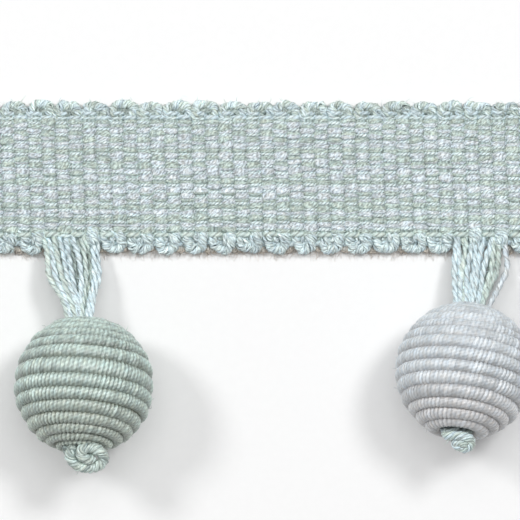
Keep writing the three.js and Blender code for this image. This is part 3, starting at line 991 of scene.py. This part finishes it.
TOP_YARNS = ("mint", "sage", "silk", "mint", "pale", "pale", "white")
BOTTOM_YARNS = ("silk", "pale", "white", "white", "silk", "pale", "white")
TIED_MIDDLES = (-13.55, 14.5, 16.4)  # ribs where a short loop ties a skein to the edge
LOOPS = {
    # edge, reach, half width in ribs, rise, leg that lies high, yarns, filling
    # the upper loops' filling of shade yarn is painted shade in each loop's middle
    "upper": (1, 1.55, 1.05, -0.1, -1, TOP_YARNS, ("shade", "shade")),
    "lower": (-1, 1.98, 0.92, 0.1, 1, BOTTOM_YARNS, ("pale", "silk")),
    "tied": (-1, 1.15, 0.44, 0.7, 1, BOTTOM_YARNS, ("pale", "mint")),
}


def build_heading(materials):
    """The heading's pieces: its ground and the yarns that go with it."""

    def add(name, shape, material):
        return add_piece(f"heading_{name}", shape, materials[material], "heading")

    ground = add("weft", heading_ground(), "soft")
    soft = soft_warps()
    warps = [add(f"warp_{name}", strands, "soft") for name, strands in soft.items()]
    warps.append(add("warp_shiny", shiny_warps(), "fine"))
    top_middles = range(-RIBS // 2 + 1, RIBS // 2, 2)
    taken = [drop["root_rib"] + side for drop in DROPS.values() for side in (-1, 1)]
    bottom_middles = [k for k in range(-RIBS // 2 + 2, RIBS // 2, 2) if k not in taken]
    roots = [drop["root_rib"] for drop in DROPS.values()]
    gaps = [k for k in range(-RIBS // 2 + 1, RIBS // 2, 2) if k not in roots]
    # The tufts between the bottom loops are painted shadow.
    tufts = edge_shadow_tufts(gaps)
    warps.append(add("warp_edges", join([edge_warps(), edge_cords()]), "twisted"))
    warps.append(add("tufts", tufts, "soft"))
    upper = edge_loops(top_middles, *LOOPS["upper"])
    lower = edge_loops(bottom_middles, *LOOPS["lower"])
    tied = edge_loops(TIED_MIDDLES, *LOOPS["tied"])
    loops = [add("loops_top", upper, "twisted"), add("loops_bottom", join([lower, tied]), "twisted")]
    # Painted shadow: the fibres under the bottom loops and those from the tufts; the rest is loose fuzz.
    loose_and_shadow_fibres = [edge_shadow_fibres(), fuzz(tufts, count=500, length=0.7)]
    loose_and_shadow_fibres += [fuzz(strands, count=350, length=0.7, facing=0.4) for strands in soft.values()]
    loose_and_shadow_fibres += [fuzz(upper, count=1200, length=0.5), fuzz(upper, count=1400, length=1.0)]
    loose_and_shadow_fibres.append(fuzz(lower, count=1200, length=0.45))
    loose = add("fuzz", join(loose_and_shadow_fibres), "fibre")


def build_drop(name, materials):
    """One skein with its knot, and its ball."""
    skein, ball, gimp = f"skein_{name}", f"ball_{name}", f"{name}_gimp"
    yarns = join([skein_strands(name), knot(name)])
    cord = wound_ball(name)
    add_piece(f"{skein}_yarn", yarns, materials["strand"], skein)
    add_piece(f"{skein}_fuzz", fuzz(yarns, count=200, length=0.6), materials["fibre"], skein)
    add_piece(f"{ball}_cord", cord, materials[name], ball)
    add_piece(f"{ball}_fuzz", fuzz(cord, count=350, length=0.5), materials["fibre"], ball)


def add_floor():
    half = 1.5
    corners = [(-half, -half, 0), (half, -half, 0), (half, half, 0), (-half, half, 0)]
    mesh = bpy.data.meshes.new("floor")
    mesh.from_pydata(corners, [], [(0, 1, 2, 3)])
    mesh.materials.append(floor_paper())
    floor = bpy.data.objects.new("floor", mesh)
    bpy.context.collection.objects.link(floor)


# The camera looks straight down. The photograph's middle and scale fix its place and lens.
VIEW_MIDDLE = (-2.27, -11.63)
VIEW_WIDTH = 72.0
CAMERA_HEIGHT = 1200.0
SENSOR = 36.0


def add_camera():
    data = bpy.data.cameras.new("camera")
    data.sensor_width = SENSOR
    data.lens = SENSOR * CAMERA_HEIGHT / VIEW_WIDTH
    data.clip_end = 10
    camera = bpy.data.objects.new("camera", data)
    camera.location = [value * MM for value in (*VIEW_MIDDLE, CAMERA_HEIGHT)]
    bpy.context.collection.objects.link(camera)
    bpy.context.scene.camera = camera


SKY_STRENGTH = 0.27
LIGHT_TARGET = (0, -0.012, 0)
LIGHTS = [
    # name, place, size and power, in metres and watts
    ("left_softbox", (-0.62, 0.34, 0.8), 0.25, 3.42),
    ("right_softbox", (0.42, 0.35, 0.88), 0.25, 3.7),
    ("overhead_softbox", (0, 0.35, 1.6), 1.1, 8.2),
]


def add_light(name, place, size, power):
    data = bpy.data.lights.new(name, "AREA")
    data.shape = "DISK"
    data.size = size
    data.energy = power
    light = bpy.data.objects.new(name, data)
    light.location = place
    light.rotation_euler = (Vector(LIGHT_TARGET) - Vector(place)).to_track_quat("-Z", "Y").to_euler()
    bpy.context.collection.objects.link(light)


def add_studio():
    world = bpy.data.worlds.new("studio")
    world.use_nodes = True
    sky = world.node_tree.nodes["Background"]
    sky.inputs["Color"].default_value = (1, 1, 1, 1)
    sky.inputs["Strength"].default_value = SKY_STRENGTH
    bpy.context.scene.world = world
    for light in LIGHTS:
        add_light(*light)
    bpy.context.scene.view_settings.view_transform = "Standard"


MATERIALS = {
    "soft": soft_yarn(),
    "fine": twisted_yarn("fine_twist", 1.05, roughness=0.28, crease=0.45, shine=1.0, contrast=0.3),
    "twisted": twisted_yarn("edge_twist", LOOP_LAY, roughness=0.4, crease=0.6, shine=0.9, contrast=0.28),
    "strand": twisted_yarn("strand_twist", STRAND_LAY, roughness=0.36, crease=0.6, shine=0.9, contrast=0.34),
    "fibre": loose_fibre(),
    "sage": gimp_thread("sage_thread", contrast=0.32),
    "lilac": gimp_thread("lilac_thread", contrast=0.15),
}

add_camera()
add_floor()
add_studio()
for drop in DROPS:
    build_drop(drop, MATERIALS)
build_heading(MATERIALS)
